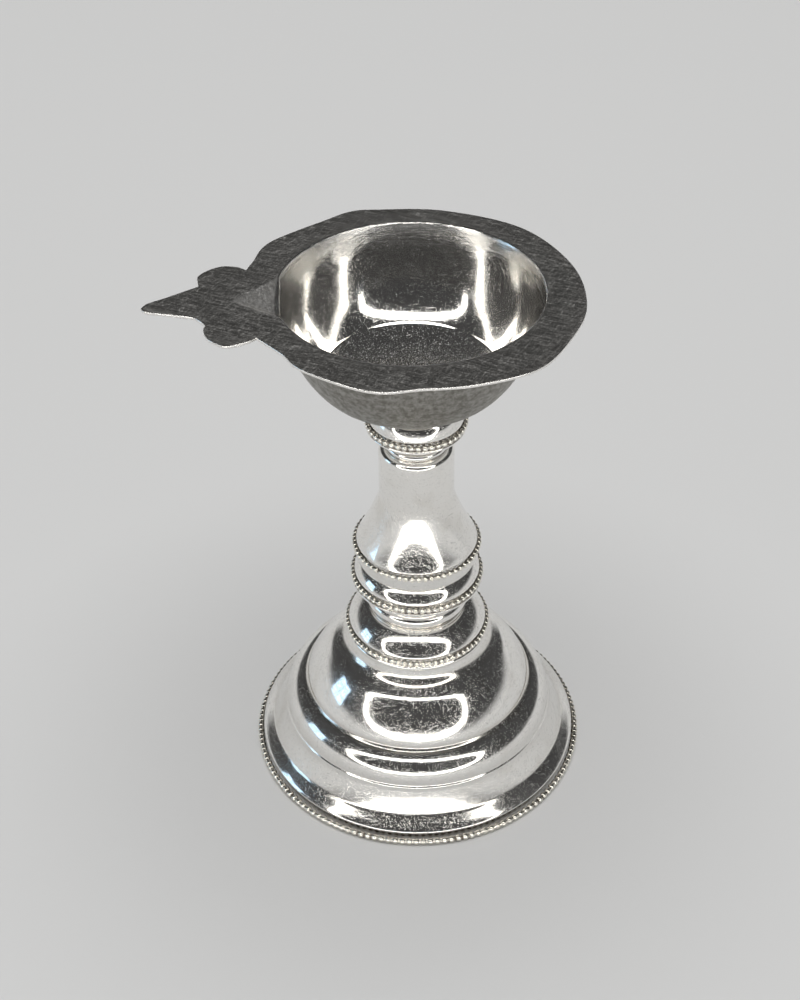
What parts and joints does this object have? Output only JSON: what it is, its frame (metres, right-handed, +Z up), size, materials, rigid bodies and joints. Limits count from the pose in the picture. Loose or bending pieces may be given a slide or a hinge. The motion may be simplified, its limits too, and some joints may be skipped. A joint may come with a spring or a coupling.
{
  "type": "standing oil lamp",
  "caption": "Small silver standing diya: a lamp bowl with spout and three-lobed finger tab, screwed on a stem of beaded discs over a stepped bell foot.",
  "frame": {"origin": "on the surface the lamp stands on, under the middle of the lamp's bounding box in plan; the stem's axis is at X = +5.95 mm", "axes": "+Z up along the stem, -X from the stem towards the spout and finger tab"},
  "size_m": [0.072, 0.06, 0.0947],
  "materials": {
    "polished_silver": "polished silver with fine scratches and pits",
    "satin_silver": "hand-worked silver, brushed flange and polished dish",
    "beaded_silver": "pressed beaded silver wire, slightly warm in its recesses",
    "brass": "plain turned brass",
    "steel": "plated steel"
  },
  "bodies": {
    "stand": {"foot": "polished_silver", "foot_beading": "beaded_silver", "knop_base_disc": "polished_silver", "knop_beading": "beaded_silver", "knop_dome": "polished_silver", "spacer_ring": "polished_silver", "middle_dish": "polished_silver", "middle_beading": "beaded_silver", "middle_dome": "polished_silver", "bell_base_pan": "polished_silver", "bell_beading": "beaded_silver", "neck_bell": "polished_silver", "neck_ring": "polished_silver", "collar_ferrule": "polished_silver", "collar_base_disc": "polished_silver", "collar_beading": "beaded_silver", "collar_dome": "polished_silver", "tie_tube": "brass", "top_nut": "brass", "cup_washer": "steel", "spring_washer": "steel", "bottom_nut": "brass", "seat_washer": "steel"},
    "stud": {"bowl_stud": "brass"},
    "bowl": {"bowl_foot_ring": "satin_silver", "lamp_bowl": "satin_silver"}
  },
  "joints": [
    {"name": "bowl_lift", "type": "slide", "parent": "stand", "child": "stud", "axis": [0, 0, 1], "range_m": [0, 0.0047]},
    {"name": "bowl_turn", "type": "hinge", "parent": "stud", "child": "bowl", "pos_m": [0.00595, 0, 0.0755], "axis": [0, 0, 1], "range_deg": [0, 2417]}
  ],
  "couplings": [
    {"joint": "bowl_lift", "follows": "bowl_turn", "m_per_rad": 0.00011141}
  ]
}
